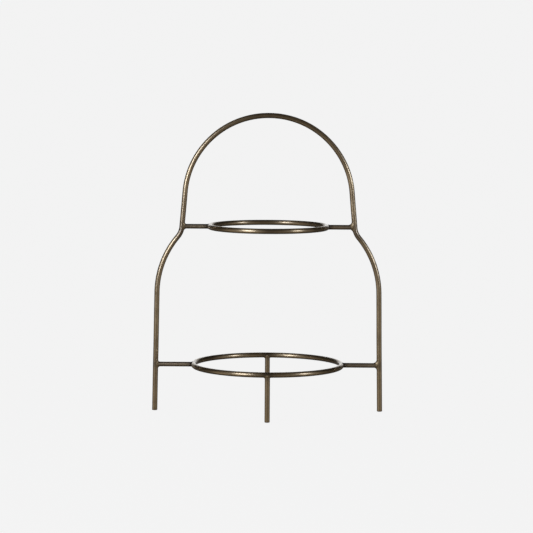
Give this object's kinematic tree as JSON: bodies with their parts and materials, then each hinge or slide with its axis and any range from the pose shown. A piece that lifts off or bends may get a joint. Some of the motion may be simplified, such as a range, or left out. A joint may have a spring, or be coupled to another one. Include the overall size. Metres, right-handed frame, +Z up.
{
  "type": "tiered cake stand",
  "caption": "Open rod frame with rings held one above the other inside a bell-shaped hoop handle, standing on rod feet; carries plates as tiers.",
  "frame": {"origin": "on the table, under the middle of both rings and midway between the side feet", "axes": "+Z up; X across the hoop, from the left foot to the right foot; the hoop stands in the XZ plane and -Y is the front"},
  "size_m": [0.273, 0.1814, 0.353],
  "materials": {
    "rod": "satin",
    "weld": "satin"
  },
  "bodies": {
    "root": {"hoop": "rod", "upper_ring": "rod", "lower_ring": "rod", "upper_stub_left": "rod", "upper_stub_right": "rod", "lower_stub_left": "rod", "lower_stub_right": "rod", "front_leg": "rod", "back_leg": "rod", "upper_hoop_weld_left": "weld", "upper_hoop_weld_right": "weld", "lower_hoop_weld_left": "weld", "lower_hoop_weld_right": "weld", "upper_ring_weld_left": "weld", "upper_ring_weld_right": "weld", "lower_ring_weld_left": "weld", "lower_ring_weld_right": "weld", "front_leg_weld": "weld", "back_leg_weld": "weld", "upper_ring_seam": "weld", "lower_ring_seam": "weld"}
  },
  "joints": []
}
